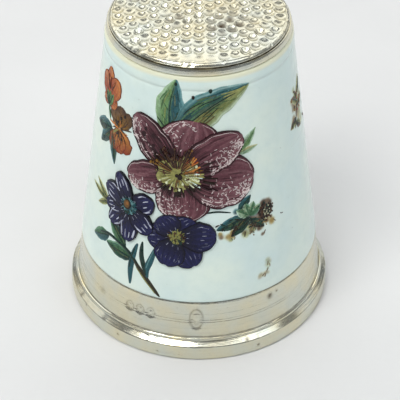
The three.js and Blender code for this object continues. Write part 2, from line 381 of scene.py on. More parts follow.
def collar():
    """Rows over the collar above the enamel, with its edges eased, and across the ledge under the cap."""
    low = cone_radius(ENAMEL_TOP)
    high = cone_radius(WALL_TOP)
    corners = [
        [low - ENAMEL_THICKNESS, ENAMEL_TOP, 1],
        [low - 0.08, ENAMEL_TOP, 0.5],
        [low - 0.01, ENAMEL_TOP + 0.05, 0],
        [low + 0.01, ENAMEL_TOP + 0.15, 0],
        [high + 0.01, WALL_TOP - 0.1, 0],
        [high - 0.04, WALL_TOP - 0.01, 0],
        [high - 0.11, WALL_TOP, 0.2],
        [high - 0.15, WALL_TOP, 1],
        on_cone(WALL_TOP, 1, INSIDE),
    ]
    return fill(corners, 0.12).tolist()


def side_wall_profile():
    """Rows of [radius, height, darkening]: foot band, recess behind the enamel, collar, inside and mouth."""
    mouth_ease = 0.15
    # The inside is made darker from the mouth up towards the cap.
    inside = [
        on_cone(WALL_TOP - 0.3, 0.8, INSIDE),
        on_cone(18, 0.3, INSIDE),
        on_cone(8, 0.15, INSIDE),
        on_cone(mouth_ease, 0, INSIDE),
        [cone_radius(0) + INSIDE + 0.04, 0.04, 0],
        on_cone(0, 0, INSIDE + mouth_ease),
    ]
    under_rim = [on_cone(0, 0.6), on_cone(0.1, 1), on_cone(RIM_HEIGHT - 0.2, 1)]
    return [*foot_band(), *collar(), *fill(inside, 0.8).tolist(), *under_rim]


# Each turned line's height and depth, each blank punch's azimuth, half width and half height, and each dark
# spot's azimuth, height, size and darkness
TURNED_LINES = ((2.55, 0.02), (3.05, 0.035), (3.25, 0.035), (3.75, 0.02))
LINE_WIDTH = 0.045
PUNCH_HEIGHT = 3.3
PUNCH_DEPTH = 0.09
PUNCH_CROWN = 0.08  # how far a punch's middle stands over its sunk ring
FAR_FROM_PUNCH = 6  # anywhere farther off counts as this far
PUNCHES = ((-34, 0.34, 0.42), (-28.5, 0.34, 0.42), (-23, 0.34, 0.42), (-1, 0.5, 0.85))
BAND_SPOTS = (
    (36, 4.05, 0.22, 1.0), (40, 4.2, 0.1, 0.8), (-52, 3.2, 0.3, 0.25), (140, 3.6, 0.2, 0.6),
    (-120, 2.6, 0.25, 0.4),
)
RIM_SPOTS = (
    (-66, 1.3, 0.16, 0.8), (-60, 1.1, 0.1, 0.9), (-47, 1.25, 0.14, 0.7), (-38, 0.7, 0.12, 0.6),
    (-18, 0.5, 0.1, 0.6), (22, 1.3, 0.12, 0.7), (27, 0.6, 0.12, 0.8), (-100, 1.2, 0.2, 0.5),
    (150, 1.3, 0.15, 0.7), (95, 0.8, 0.15, 0.5),
)


def spots(azimuth, radius, height, places):
    """The grime of the dark spots at these places."""
    return sum(
        darkness * spot(azimuth, radius, height, math.radians(turn), level, size)
        for turn, level, size, darkness in places
    )


def punch_distance(azimuth, radius, height, punch):
    """How far a place is from a punch's middle, 1 being on its oval edge."""
    turn, half_width, half_height = punch
    across = turn_from(azimuth, math.radians(turn)) * radius
    return np.minimum(np.hypot(across / half_width, (height - PUNCH_HEIGHT) / half_height), FAR_FROM_PUNCH)


def band_relief(azimuth, radius, height):
    """Turned lines round the foot band, blank punches at its left front and a slight hand-made wave."""
    random = np.random.default_rng(SEED)
    outside = (radius > cone_radius(height) - 0.03) & (height > RIM_HEIGHT) & (height < ENAMEL_FOOT - 0.1)
    relief = 0.015 * wander(azimuth, 5, random) * np.ones_like(height)
    for level, depth in TURNED_LINES:
        relief = relief - depth * bell((height - level) / LINE_WIDTH)
    for punch in PUNCHES:
        away = punch_distance(azimuth, radius, height, punch)
        pressed = PUNCH_DEPTH / (1 + np.exp((away - 1) * 9))
        relief = relief - pressed + PUNCH_CROWN * bell(away / 0.45)
    return relief * outside


def band_tarnish_and_shade(azimuth, radius, height):
    """Painted shade round the punches' rims, and tarnish in small dark spots on the foot band."""
    tarnish_and_shade = spots(azimuth, radius, height, BAND_SPOTS)
    for punch in PUNCHES:
        away = punch_distance(azimuth, radius, height, punch)
        # A ring of painted shade along each punch's sunk edge, and a fainter one inside it.
        tarnish_and_shade = tarnish_and_shade + 0.45 * bell((away - 0.95) / 0.13) + 0.2 * bell((away - 0.55) / 0.12)
    return tarnish_and_shade


def rim_stain(azimuth, radius, height):
    return spots(azimuth, radius, height, RIM_SPOTS)


RIM_DENTS = 44


def on_rim(z, inwards, tarnish_and_shade=0):
    """A profile's row that stands this far in from the rim's outer face."""
    return [RIM_RADIUS - inwards, z, tarnish_and_shade]


def rim_profile():
    """Rows of [radius, height, darkening]: sole, outer face, rounded bead and the crease against the side."""
    seam = 0.02
    heel = cone_radius(0) + seam
    return [
        [heel, 0, 0.8],
        *fill([[heel, 0, 0.5], on_rim(0, 0.2, 0.3)], 0.1).tolist()[1:],
        *arc((RIM_RADIUS - 0.2, 0.2), 0.17, -90, 0),
        *fill([on_rim(0.25, 0.03), on_rim(0.6, 0.02), on_rim(1.0, 0.04)], 0.06).tolist(),
        *arc((RIM_RADIUS - 0.22, 1.1), 0.18, 0, 48, 6),
        *fill([on_rim(1.235, 0.09), on_rim(1.4, 0.28), [cone_radius(1.6) + 0.13, 1.53, 0]], 0.05).tolist(),
        *arc((cone_radius(1.66) + 0.03, 1.64), 0.1, -30, 100, 6),
        [cone_radius(1.82) + seam, 1.8, 0.6],
        *fill([[cone_radius(1.7) + seam, 1.7, 1], [heel, 0, 0.8]], 0.3).tolist(),
    ]


def rim_relief(azimuth, radius, height):
    """The bead was rolled and soldered by hand: it waves a little and has small dents."""
    random = np.random.default_rng(SEED + 1)
    outside = radius > cone_radius(height) + 0.05
    relief = 0.012 * wander(azimuth, 6, random) + 0.006 * wander(3 * azimuth, 9, random)
    relief = relief * np.ones_like(height) - 0.01
    for _ in range(RIM_DENTS):
        turn, level, size = random.uniform(0, FULL_TURN), random.uniform(0.5, 1.5), random.uniform(0.12, 0.32)
        relief = relief - random.uniform(0.008, 0.035) * spot(azimuth, radius, height, turn, level, size)
    return relief * outside * np.clip(height / 0.25, 0, 1)


# ---- The dimpled cap ----

DIMPLE_PITCH = 0.8
DIMPLE_RINGS = 7
DIMPLE_SIZE = (0.43, 0.02)  # the radius and how much it varies
DIMPLE_DEPTH = (0.2, 0.035)
DIMPLE_WANDER = 0.03  # how far the dimples stand off their rings
CAP_NICKS = 45
CAP_SHOULDER = 0.3
CAP_SEAT = WALL_TOP + 0.02
DOME_RADIUS = CAP_RADIUS - CAP_SHOULDER
DOME_EDGE = CAP_SEAT + CAP_SHOULDER
DOME_TOP = HEIGHT - 0.02
# The front of the cap's edge is rubbed nearly smooth
WORN_MIDDLE = (0.3, -6.1)
WORN_SPREAD = (3.6, 0.95)
WORN_AWAY = 0.85
# Each painted dark reflection's x, y, size and darkness, laid into the dimples as a patch
CAP_DARK_REFLECTIONS = ((2.2, -1.2, 1.3, 0.9), (1.3, -2.2, 0.6, 0.5), (-1.5, -1.0, 0.8, 0.6), (-2.6, 3.5, 1.2, 0.6))


def dome_height(radius):
    return DOME_TOP - (DOME_TOP - DOME_EDGE) * (radius / DOME_RADIUS) ** 2


def wear(x, y):
    """How much of a dimple's depth is rubbed away."""
    east = (x - WORN_MIDDLE[0]) / WORN_SPREAD[0]
    north = (y - WORN_MIDDLE[1]) / WORN_SPREAD[1]
    return WORN_AWAY * math.exp(-(east**2 + north**2))


def dimples():
    """Centre x, y, radius and depth of every dimple. Ring k holds 6k of them, struck a little unevenly."""
    random = np.random.default_rng(SEED + 2)
    struck = []
    for ring in range(DIMPLE_RINGS + 1):
        count = max(1, 6 * ring)
        for i in range(count):
            turn = FULL_TURN * (i + 0.5 * (ring % 2)) / count
            place_on_ring = ring * DIMPLE_PITCH * np.array([math.cos(turn), math.sin(turn)])
            x, y = place_on_ring + random.normal(0, DIMPLE_WANDER, 2)
            size, depth = random.normal(*DIMPLE_SIZE), random.normal(*DIMPLE_DEPTH)
            struck.append((x, y, size, depth * (1 - wear(x, y))))
    return struck


def dimple_depth(azimuth, radius):
    """Round cups that meet in smooth ridges, as a dimple's wall pushes the metal up round it."""
    x = radius * np.sin(azimuth)
    y = -radius * np.cos(azimuth)
    total = np.zeros(x.shape)
    for cx, cy, size, depth in dimples():
        away = np.minimum(np.hypot(x - cx, y - cy) / size, 1)
        total += depth * (1 - away**2) ** 1.25
    return total


def cap_shade_and_reflections(azimuth, radius, height):
    """Painted shade in the dimples, light in all of them and deep in a few patches of painted dark
    reflection.
    """
    x = radius * np.sin(azimuth)
    y = -radius * np.cos(azimuth)
    # A light painted shade in every dimple, with painted dark reflections added in a few patches.
    tarnish_and_shade = 0.12
    for cx, cy, size, darkness in CAP_DARK_REFLECTIONS:
        tarnish_and_shade = tarnish_and_shade + darkness * np.exp(-((x - cx) ** 2 + (y - cy) ** 2) / size**2)
    cupped = np.clip(dimple_depth(azimuth, radius) / 0.14, 0, 1)
    return tarnish_and_shade * cupped * (height > CAP_SEAT)


def cap_relief(azimuth, radius, height):
    """The dimples, a slight wave, and small nicks round the cap's edge."""
    random = np.random.default_rng(SEED + 3)
    relief = 0.012 * wander(azimuth, 6, random) - dimple_depth(azimuth, radius)
    for _ in range(CAP_NICKS):
        across = turn_from(azimuth, random.uniform(0, FULL_TURN)) * radius
        away = np.hypot(across, radius - random.uniform(DOME_RADIUS, CAP_RADIUS)) / random.uniform(0.08, 0.22)
        relief = relief - random.uniform(0.02, 0.06) * bell(away)
    on_top = np.clip((height - CAP_SEAT - 0.1) / 0.1, 0, 1)
    return relief * on_top


def cap_profile():
    """Rows of [radius, height, darkening] from the plug inside the wall, round the edge and over the dome."""
    rows = np.linspace(DOME_RADIUS, 0.001, 104)
    dome = [[r, dome_height(r), 0] for r in rows]
    return [
        [0.001, CAP_UNDERSIDE, 0.4],
        *fill([[0.1, CAP_UNDERSIDE, 0.4], [CAP_PLUG_RADIUS, CAP_UNDERSIDE, 0.8]], 0.6).tolist(),
        [CAP_PLUG_RADIUS, CAP_SEAT, 1],
        [CAP_RADIUS - 0.05, CAP_SEAT, 1],
        [CAP_RADIUS - 0.02, CAP_SEAT + 0.04, 0.8],
        [CAP_RADIUS, CAP_SEAT + 0.1, 0.3],
        *arc((DOME_RADIUS, CAP_SEAT + 0.06), CAP_SHOULDER - 0.01, 16, 84, 6),
        *dome,
    ]


# ---- The enamel ----

GROOVE_HEIGHT = 21.7


def enamel_swell(z):
    """How far the enamel's face stands off the cone: a faint groove, a fuller margin and rounded edges."""
    margin = 0.05 / (1 + np.exp(-(z - GROOVE_HEIGHT - 0.15) * 9))
    groove = 0.045 * bell((z - GROOVE_HEIGHT) / 0.12)
    foot = 0.09 * np.exp(-np.maximum(z - ENAMEL_FOOT - 0.02, 0) / 0.09)
    lip = 0.11 * np.exp(-np.maximum(ENAMEL_TOP - 0.02 - z, 0) / 0.12)
    return 0.03 + margin - groove - foot - lip


def enamel_profile():
    back = lambda z: cone_radius(z) - ENAMEL_THICKNESS + 0.02
    foot = ENAMEL_FOOT + 0.02
    top = ENAMEL_TOP - 0.02
    levels = np.concatenate([
        foot + np.linspace(0, 0.5, 14, endpoint=False),
        np.linspace(foot + 0.5, GROOVE_HEIGHT - 0.5, 50, endpoint=False),
        np.linspace(GROOVE_HEIGHT - 0.5, top, 44),
    ])
    # A painted shadow line along the faint groove.
    groove_shadow = 0.16 * bell((levels - GROOVE_HEIGHT) / 0.06)
    face = [[cone_radius(z) + enamel_swell(z), z, g] for z, g in zip(levels, groove_shadow)]
    return [[back(foot), foot, 0.5], *face, [back(top), top, 0.5], [back(foot), foot, 0.5]]


# ---- The painted coats ----

BRUSH_STEP = 0.014  # how far a brush stroke stands over the coat that it is laid on
PETAL_STEP = 0.028  # how far a petal stands over one that it overlaps
SUNK = -0.02  # how far a coat's edges go down into the enamel


def colour(text):
    """Linear colour from six hex digits of sRGB."""
    shown = np.array([int(text[i : i + 2], 16) / 255 for i in (0, 2, 4)])
    return np.where(shown <= 0.04045, shown / 12.92, ((shown + 0.055) / 1.055) ** 2.4)


MAUVE = colour("5c323c")
MAUVE_LIGHT = colour("8a6268")
MAROON = colour("2a0f16")
PINK_WHITE = colour("e2d8d6")
INDIGO = colour("11133a")
INDIGO_DARK = colour("0a0817")
VIOLET = colour("212353")
LILAC = colour("c8cee0")
LEAF_DARK = colour("16302a")
LEAF = colour("3c6848")
LEAF_LIGHT = colour("688c5a")
SAGE = colour("8faa8c")
STRAW = colour("b8b27c")
TEAL = colour("26545c")
TEAL_LIGHT = colour("5c878a")
OLIVE = colour("85854a")
BROWN = colour("4a3222")
UMBER = colour("22160f")
ORANGE = colour("9c4018")
ORANGE_LIGHT = colour("c47c3c")
OCHRE = colour("7f5c26")
YELLOW_GREEN = colour("9c9c60")
CREAM = colour("d9e0bc")
MILK = np.array((0.72, 0.88, 0.84))  # the enamel's white, which shows through thin paint


def blend(a, b, share):
    share = np.clip(share, 0, 1)[..., None]
    return a * (1 - share) + b * share


def between(a, b, share):
    """One colour part of the way from a to b."""
    return blend(a, b, np.array(share))


def wash(tint, cover):
    """A tint laid over the enamel, with how far it hides the enamel as a fourth value. cover is 0 to 1."""
    seen = MILK ** (1 - cover) * tint**cover
    return np.concatenate([seen, np.clip(3 * cover, 0, 1)], axis=-1)


def heading(degrees):
    """The unit (u, v) that points this way, 0 being to the right and 90 up the cone."""
    turn = math.radians(degrees)
    return np.array([math.cos(turn), math.sin(turn)])


def curve(points, steps):
    """A smooth curve through the points (Catmull-Rom), as steps + 1 points."""
    points = np.array(points, float)
    points = np.vstack([2 * points[0] - points[1], points, 2 * points[-1] - points[-2]])
    out = []
    for position in np.linspace(0, len(points) - 3, steps + 1):
        i = min(int(position), len(points) - 4)
        x = position - i
        a, b, c, d = points[i : i + 4]
        square = (2 * a - 5 * b + 4 * c - d) * x**2
        cube = (3 * b - a - 3 * c + d) * x**3
        out.append((2 * b + (c - a) * x + square + cube) / 2)
    return np.array(out)


class Coat:
    """One painted motif, drawn at (u, v) in millimetres from its centre on the unrolled cone."""

    def __init__(self, azimuth, height, lift, seed):
        self.azimuth = math.radians(azimuth)
        self.height = height
        self.lift = lift
        self.random = np.random.default_rng(seed)
        self.skin = Skin()

    def wrap(self, u, v, lift):
        z = self.height + v * math.cos(TILT)
        radius = cone_radius(z)
        turn = self.azimuth + u / radius
        lift = lift + enamel_swell(z)
        out = radius + lift * math.cos(TILT)
        return np.stack([out * np.sin(turn), -out * np.cos(turn), z + lift * math.sin(TILT)], axis=-1)

    def ribbon(self, path, half_width, tint, cover=1.0, lift=0.0, thickness=0.008, across=6):
        """A strip along a path of points, as wide as half_width(s) each side, s being 0 to 1 along it.

        tint(s, t) gives its colour, t being -1 on its left edge and 1 on its right, and cover how thickly
        it hides the white, from 0 to 1. The edges go down into the white, so the coat has rounded sides.
        """
        path = np.array(path, float)
        s = np.linspace(0, 1, len(path))[:, None]
        t = np.linspace(-1, 1, across + 1)[None, :]
        along = np.gradient(path, axis=0)
        along /= np.maximum(np.linalg.norm(along, axis=1, keepdims=True), 1e-9)
        width = half_width(s)
        u = path[:, :1] + t * width * along[:, 1:2]
        v = path[:, 1:2] - t * width * along[:, :1]
        crown = thickness * (1 - t**6) * np.clip(np.minimum(s, 1 - s) * 14, 0, 1) ** 0.5
        edge = (np.abs(t) > 0.999) | (s < 1e-6) | (s > 1 - 1e-6)
        rise = np.where(edge, SUNK - self.lift, lift + crown)
        cover = np.broadcast_to(cover(s, t) if callable(cover) else cover, rise.shape)[..., None]
        tint = np.broadcast_to(tint(s, t), (*rise.shape, 3))
        self.skin.add_grid(self.wrap(u, v, self.lift + rise), wash(tint, cover))

    def stroke(self, points, width, tint, lift=BRUSH_STEP, taper=0.7, steps=10, cover=1.0):
        """One touch of a fine brush: a curve through its points, thin at both ends."""
        shape = lambda s: width / 2 * np.sin(math.pi * np.clip(s, 0.02, 0.98)) ** taper
        self.ribbon(curve(points, steps), shape, lambda s, t: tint, cover, lift, across=4)

    def dot(self, u, v, radius, tint, lift=BRUSH_STEP):
        """A round dot, as a ribbon up its middle that is as wide as the circle."""
        rise = -np.cos(np.linspace(0, math.pi, 13)) * radius
        shape = lambda s: radius * np.sin(math.pi * s)
        self.ribbon([[u, v + r] for r in rise], shape, lambda s, t: tint, lift=lift, across=8)

    def smudge(self, clumps, sizes=(0.12, 0.35), strength=0.7):
        """A soft worn patch of blotches, which thins away to the white at its edges.

        Each clump gives its middle and spread as (u, v), its number of blotches and their tints.
        """
        random = self.random
        middles = np.array([middle for middle, *_ in clumps])
        margins = 2.6 * np.array([spread for _, spread, *_ in clumps]) + 1.5 * sizes[1]
        low = (middles - margins).min(axis=0)
        high = (middles + margins).max(axis=0)
        u, v = np.meshgrid(*(np.arange(*side, 0.06) for side in zip(low, high)))
        weight = np.full(u.shape, 1e-6)
        mixed = np.zeros((*u.shape, 3))
        for middle, spread, count, tints in clumps:
            for _ in range(count):
                x, y = middle + random.normal(0, 1, 2) * spread
                blotch = np.exp(-((u - x) ** 2 + (v - y) ** 2) / random.uniform(*sizes) ** 2)
                weight += blotch
                mixed += blotch[..., None] * random.choice(tints)
        inside = np.minimum.reduce([u - low[0], high[0] - u, v - low[1], high[1] - v])
        cover = (strength * (1 - np.exp(-weight)) * np.clip(4 * inside - 0.3, 0, 1))[..., None]
        lift = np.where(inside < 0.04, SUNK, 0.4 * self.lift)
        self.skin.add_grid(self.wrap(u, v, lift), wash(mixed / weight[..., None], cover))

    def fan(self, count, sector, reaches, tints, start=0.3, width=0.1, lift=BRUSH_STEP, tip=0.0):
        """Strokes that fan out from the centre over a sector in degrees, with a dot at each tip if asked."""
        random = self.random
        for degrees in np.linspace(*sector, count):
            out = heading(degrees + random.normal(0, 4))
            reach = random.uniform(*reaches)
            tint = random.choice(tints)
            bend = out * (start + reach) / 2 + random.normal(0, 0.05, 2)
            self.stroke([out * start, bend, out * reach], width * random.uniform(0.7, 1.3), tint, lift)
            if tip:
                self.dot(*(out * reach), tip * random.uniform(0.7, 1.4), tint, lift + BRUSH_STEP)

    def build(self, name, slot, material):
        place(self.skin.build(f"painted_{name}", "paint", material), slot, name)


class Petal:
    """A petal or leaf of a coat, drawn from its base outwards. Its own places are (s along, t across)."""

    def __init__(self, coat, direction, length, width, bend=0.0, base=(0, 0), belly=1.3, blunt=0.55,
                 ripple=0.03, lift=0.0):
        self.coat = coat
        self.lift = lift
        self.belly = belly
        self.blunt = blunt
        self.width = width
        self.ripple = ripple
        self.phase = coat.random.uniform(0, FULL_TURN, 4)
        forward = heading(direction)
        side = np.array([-forward[1], forward[0]])
        start = np.array(base, float)
        self.path = curve([start, start + forward * length / 2 + side * bend, start + forward * length], 36)

    def half_width(self, s):
        body = np.sin(math.pi * np.clip(s, 0.0, 1.0) ** self.belly) ** self.blunt
        wave = 1 + self.ripple * (np.sin(17 * s + self.phase[0]) + 0.7 * np.sin(31 * s + self.phase[1]))
        return self.width / 2 * body * wave

    def at(self, s, t):
        """(u, v) of a place on the petal."""
        position = np.clip(s, 0, 1) * (len(self.path) - 1)
        i = min(int(position), len(self.path) - 2)
        along = self.path[i + 1] - self.path[i]
        here = self.path[i] + along * (position - i)
        right = np.array([along[1], -along[0]]) / np.linalg.norm(along)
        return here + right * t * self.half_width(s)

    def streaks(self, s, t):
        """The faint streaks that a brush leaves as it is drawn along the petal, about -0.3 to 0.3."""
        fine = np.sin(37 * t + 2 * s + self.phase[3])
        return 0.18 * np.sin(19 * t + 3 * s + self.phase[2]) + 0.12 * fine

    def fill(self, tint, cover=1.0):
        self.coat.ribbon(self.path, self.half_width, tint, cover, self.lift, 0.012, 40)

    def line(self, start, end, t, width, tint, layer=1, drift=0.0, steps=8):
        """A stroke along the petal between two places, t across it and drifting to t + drift."""
        places = [self.at(start + (end - start) * k, t + drift * k) for k in (0, 0.35, 0.7, 1)]
        self.coat.stroke(places, width, tint, self.lift + layer * BRUSH_STEP, 0.6, steps)

    def lines(self, across, start, end, width, tints, shares, drift=0):
        """Strokes along the petal at these places across it, each some share of the way between two tints."""
        for t in across:
            tint = between(*tints, self.coat.random.uniform(*shares))
            self.line(start, end, t, width, tint, 1.3, drift * t)

    def margin(self, width, tint, start=0.12, end=0.97, inset=0.95):
        """A line drawn just inside the edge on both sides, which meets at the tip."""
        for side in (-1, 1):
            places = [self.at(s, side * inset) for s in np.linspace(start, end, 12)]
            self.coat.stroke([*places, self.at(0.985, 0)], width, tint, self.lift + BRUSH_STEP, 0.3, 26)

    def squiggle(self, s, t, length, width, tint):
        """A tiny curl of the brush in any direction."""
        random = self.coat.random
        out = heading(random.uniform(0, 360)) * length / 2
        middle = self.at(s, t)
        bend = middle + np.array([-out[1], out[0]]) * random.uniform(-0.8, 0.8)
        lift = self.lift + 1.3 * BRUSH_STEP
        self.coat.stroke([middle - out, bend, middle + out], width, tint, lift, 0.6, 5)


def mauve_petal(coat, layer, crust, frost, gloom=0.0, **shape):
    """A petal shaded dark at its heart, with a maroon margin and a crust of pale touches near its rim.

    crust is the side that carries most of the pale touches, -1 for the left and 1 for the right. gloom
    makes the dark part reach further out.
    """
    petal = Petal(coat, lift=layer * PETAL_STEP, **shape)
    random = coat.random

    def tint(s, t):
        body = blend(MAUVE, MAUVE_LIGHT, 0.9 * s - 0.4 + 0.4 * crust * t + 1.4 * petal.streaks(s, t))
        return blend(body, MAROON, 1.15 + gloom - 2.3 * s + 0.3 * np.abs(t) - 1.4 * petal.streaks(s, t))

    petal.fill(tint)
    for t in np.linspace(-0.85, 0.85, 22):
        start = random.uniform(0.25, 0.6)
        shade = between(random.choice([MAUVE, MAUVE_LIGHT, MAROON]), MAUVE, random.uniform(0, 0.7))
        petal.line(start, start + 0.25, t, random.uniform(0.08, 0.16), shade)
    petal.margin(0.15, MAROON)
    petal.margin(0.07, between(MAUVE_LIGHT, PINK_WHITE, 0.75), 0.35, 0.9, 0.84)
    for t in np.linspace(-0.85, 0.85, 17):
        shade = random.choice([MAROON, UMBER])
        petal.line(0.05, random.uniform(0.22, 0.55), 0.6 * t, random.uniform(0.07, 0.14), shade, 1, 0.3 * t)
    for start in (0.35, 0.5, 0.64, 0.78):
        pale = between(MAUVE_LIGHT, PINK_WHITE, random.uniform(0.7, 1))
        inset = crust * random.uniform(0.7, 0.86)
        petal.line(start, start + random.uniform(0.1, 0.16), inset, random.uniform(0.1, 0.17), pale, 1.3)
    for _ in range(frost):
        s = 0.93 - 0.55 * random.uniform() ** 1.5
        t = np.clip(0.55 * crust + random.normal(0, 0.35), -0.86, 0.86)
        whiteness = np.clip(0.3 + 0.9 * (s - 0.4) + 0.35 * crust * t + random.normal(0, 0.15), 0.05, 1)
        pale = between(MAUVE_LIGHT, PINK_WHITE, whiteness)
        petal.squiggle(s, t, random.uniform(0.1, 0.4), random.uniform(0.06, 0.13), pale)
    return petal


MAUVE_PETALS = (
    dict(layer=0, crust=-1, frost=70, direction=196, length=4.1, width=2.6, bend=0.15),
    dict(layer=0, crust=-1, frost=50, direction=75, length=4.4, width=4.8, bend=-0.1, belly=1.15),
    dict(layer=0, crust=1, frost=130, direction=-83, length=4.0, width=4.1, bend=0.1, belly=1.2),
    dict(layer=1, crust=1, frost=170, direction=-8, length=5.5, width=4.4, bend=-0.25, belly=1.35),
    dict(layer=2, crust=1, frost=140, direction=32, length=5.2, width=3.0, bend=0.1, belly=1.2),
    dict(layer=1, crust=-1, frost=60, gloom=0.8, direction=129, length=5.1, width=2.7, bend=0.1, belly=1.1),
)
PETAL_SPOTS = ((0.34, 0.1, 0.15), (0.5, -0.1, 0.17), (0.62, 0.3, 0.2), (0.7, -0.2, 0.22), (0.75, 0.1, 0.15))


def mauve_flower(coat):
    """Six broad petals. The last drawn, at the upper left, has dark spots up its middle."""
    petals = [mauve_petal(coat, **shape) for shape in MAUVE_PETALS]
    spotted = petals[-1]
    for t in np.linspace(-0.35, 0.45, 9):
        start = coat.random.uniform(0.35, 0.6)
        spotted.line(start, start + coat.random.uniform(0.1, 0.25), t, 0.16, between(MAROON, MAUVE, 0.3), 1.2)
    for s, t, radius in PETAL_SPOTS:
        coat.dot(*spotted.at(s, t), radius, MAROON, spotted.lift + 2 * BRUSH_STEP)


HEART_PETALS = ((100, 1.1, 1.3), (155, 1.5, 1.1), (200, 1.6, 1.2), (250, 1.1, 1.3), (305, 1.3, 1.1))


def mauve_flower_heart(coat):
    """A yellow-green heart, brown stamens above it, an orange patch at its right and a cream one below."""
    green = lambda s, t: blend(YELLOW_GREEN, OLIVE, 0.9 - s + 0.3 * np.abs(t))
    for shape in HEART_PETALS:
        Petal(coat, *shape, ripple=0.14).fill(green)
    coat.fan(22, (226, 330), (1.6, 2.1), (MAROON, UMBER), 1.0, 0.26)
    coat.fan(12, (-30, 36), (2.3, 3.3), (UMBER, MAROON), 1.7, 0.15)
    coat.fan(60, (40, 400), (0.6, 1.7), (OLIVE, YELLOW_GREEN, OCHRE, BROWN, UMBER), width=0.13)
    coat.fan(34, (4, 60), (1.0, 2.0), (ORANGE, ORANGE_LIGHT, OCHRE, OCHRE, BROWN), 0.5, 0.24)
    coat.fan(26, (-36, 4), (1.0, 2.0), (CREAM, YELLOW_GREEN, YELLOW_GREEN, MILK), 0.5, 0.26)
    coat.fan(34, (44, 172), (1.0, 2.2), (BROWN, UMBER, MAROON, OCHRE), 0.4, 0.12, 2 * BRUSH_STEP, 0.08)
    coat.fan(34, (170, 400), (0.7, 1.5), (YELLOW_GREEN, CREAM, OLIVE, BROWN), 0.6, 0.07, 2 * BRUSH_STEP, 0.08)
    coat.dot(0.15, -0.2, 0.22, UMBER, 3 * BRUSH_STEP)
    coat.dot(-0.08, -0.1, 0.13, UMBER, 3 * BRUSH_STEP)


def violet_petal(coat, index, strokes, boldness, shape, belly):
    """A nearly black violet petal with pale radiating touches. Neighbours overlap, the odd ones on top."""
    petal = Petal(coat, *shape, belly=belly, lift=0.7 * PETAL_STEP * (index % 2) + 0.002 * index)
    random = coat.random

    def tint(s, t):
        body = blend(INDIGO, VIOLET, 1.1 * s - 0.45 + 2 * petal.streaks(s, t))
        return blend(INDIGO_DARK, body, 1.6 * s - 0.3 * np.abs(t) ** 3)

    petal.fill(tint)
    petal.margin(0.12, INDIGO_DARK)
    for t in np.linspace(-0.68, 0.68, strokes):
        pale = between(VIOLET, LILAC, random.uniform(0.15 + 0.3 * boldness, 0.7 + 0.3 * boldness))
        start = random.uniform(0.5, 0.7)
        reach = random.uniform(0.1, 0.22) + 0.08 * boldness
        petal.line(start, start + reach, t, random.uniform(0.05, 0.09) * (1 + boldness), pale, 1, 0.15 * t)
    for t in (-0.45, 0, 0.45):
        petal.line(0.24, random.uniform(0.3, 0.4), t, 0.06, between(VIOLET, LILAC, random.uniform(0.3, 0.8)))
    for side in (-1, 1):
        start = random.uniform(0.35, 0.6)
        pale = between(VIOLET, LILAC, random.uniform(0.5, 1))
        petal.line(start, 0.85, side * random.uniform(0.6, 0.75), 0.09 * boldness + 0.01, pale)
    return petal


def violet_flower(coat, petals, strokes, boldness, belly):
    for i, shape in enumerate(petals):
        violet_petal(coat, i, strokes, boldness, shape, belly)


def violet_flower_right(coat):
    upper = ((52, 1.9, 2.2), (128, 1.9, 2.2), (190, 2.2, 2.3), (2, 2.8, 2.5))
    lower = ((-62, 2.7, 2.4), (-108, 2.6, 2.3))
    violet_flower(coat, (*upper, *lower), 6, 0, 1.3)


def violet_flower_left(coat):
    upper = ((30, 2.1, 1.8), (160, 2.6, 1.6), (196, 2.4, 1.5), (118, 2.7, 1.4))
    lower = ((228, 2.7, 1.6), (318, 2.4, 1.7), (268, 2.9, 1.7))
    violet_flower(coat, (*upper, *lower), 4, 1.2, 1.1)


def flower_eye(coat, radius, tints, pupil=None):
    """A flower's soft eye, stippled in a few tints with short rays, and a pupil off its middle if asked."""
    random = coat.random
    coat.dot(0, 0, radius * 0.9, tints[0], 0.0)
    coat.fan(26, (0, 346), (0.8 * radius, 1.25 * radius), tints, 0.4 * radius, 0.12)
    for _ in range(30):
        u, v = heading(random.uniform(0, 360)) * radius * 0.85 * math.sqrt(random.uniform())
        coat.dot(u, v, random.uniform(0.06, 0.14), random.choice(tints), 2 * BRUSH_STEP)
    if pupil is not None:
        coat.dot(-0.12, 0.1, radius * 0.58, UMBER, 2.5 * BRUSH_STEP)
        coat.dot(-0.16, 0.14, radius * 0.46, pupil, 3 * BRUSH_STEP)
        coat.dot(-0.1, 0.2, radius * 0.2, between(pupil, ORANGE_LIGHT, 0.4), 3.5 * BRUSH_STEP)


def leaf(coat, base, direction, length, width, left, right, bend=0.0, lift=0.0, veins=3, fade=0.6, rib=None):
    """A pointed leaf in two tones, one each side of a dark midrib. Its wash thins to its margins by fade."""
    petal = Petal(coat, direction, length, width, bend, base, belly=0.85, blunt=0.8, ripple=0.04, lift=lift)
    random = coat.random
    tones = (LEAF_DARK, LEAF, LEAF_LIGHT, TEAL, OLIVE)
    rib = LEAF_DARK if rib is None else rib

    def tint(s, t):
        two_tone = blend(left, right, 0.5 + 2.5 * t + petal.streaks(s, t))
        return blend(two_tone, rib, 0.75 - 2 * s + 2 * petal.streaks(s, t))

    def cover(s, t):
        return 1 - fade * np.clip(1.6 * np.abs(t) + 0.8 * s - 1 + petal.streaks(s, t), 0, 1)

    petal.fill(tint, cover)
    for side, main in ((-1, left), (1, right)):
        for t in np.linspace(0.12, 0.75, 3 + 2 * veins):
            start = random.uniform(0.08, 0.6)
            shade = between(main, random.choice(tones), random.uniform(0.1, 0.6))
            end = start + random.uniform(0.2, 0.35)
            petal.line(start, end, side * t, 0.09 * width, shade, 1, -0.3 * side * t)
    petal.line(0.0, 0.88, 0, 0.11, rib, 2, steps=14)
    for s in np.linspace(0.2, 0.65, veins):
        for side in (-1, 1):
            petal.line(s, s + 0.17, 0, 0.045, between(rib, LEAF, 0.5), 1.7, 0.6 * side)
    return petal


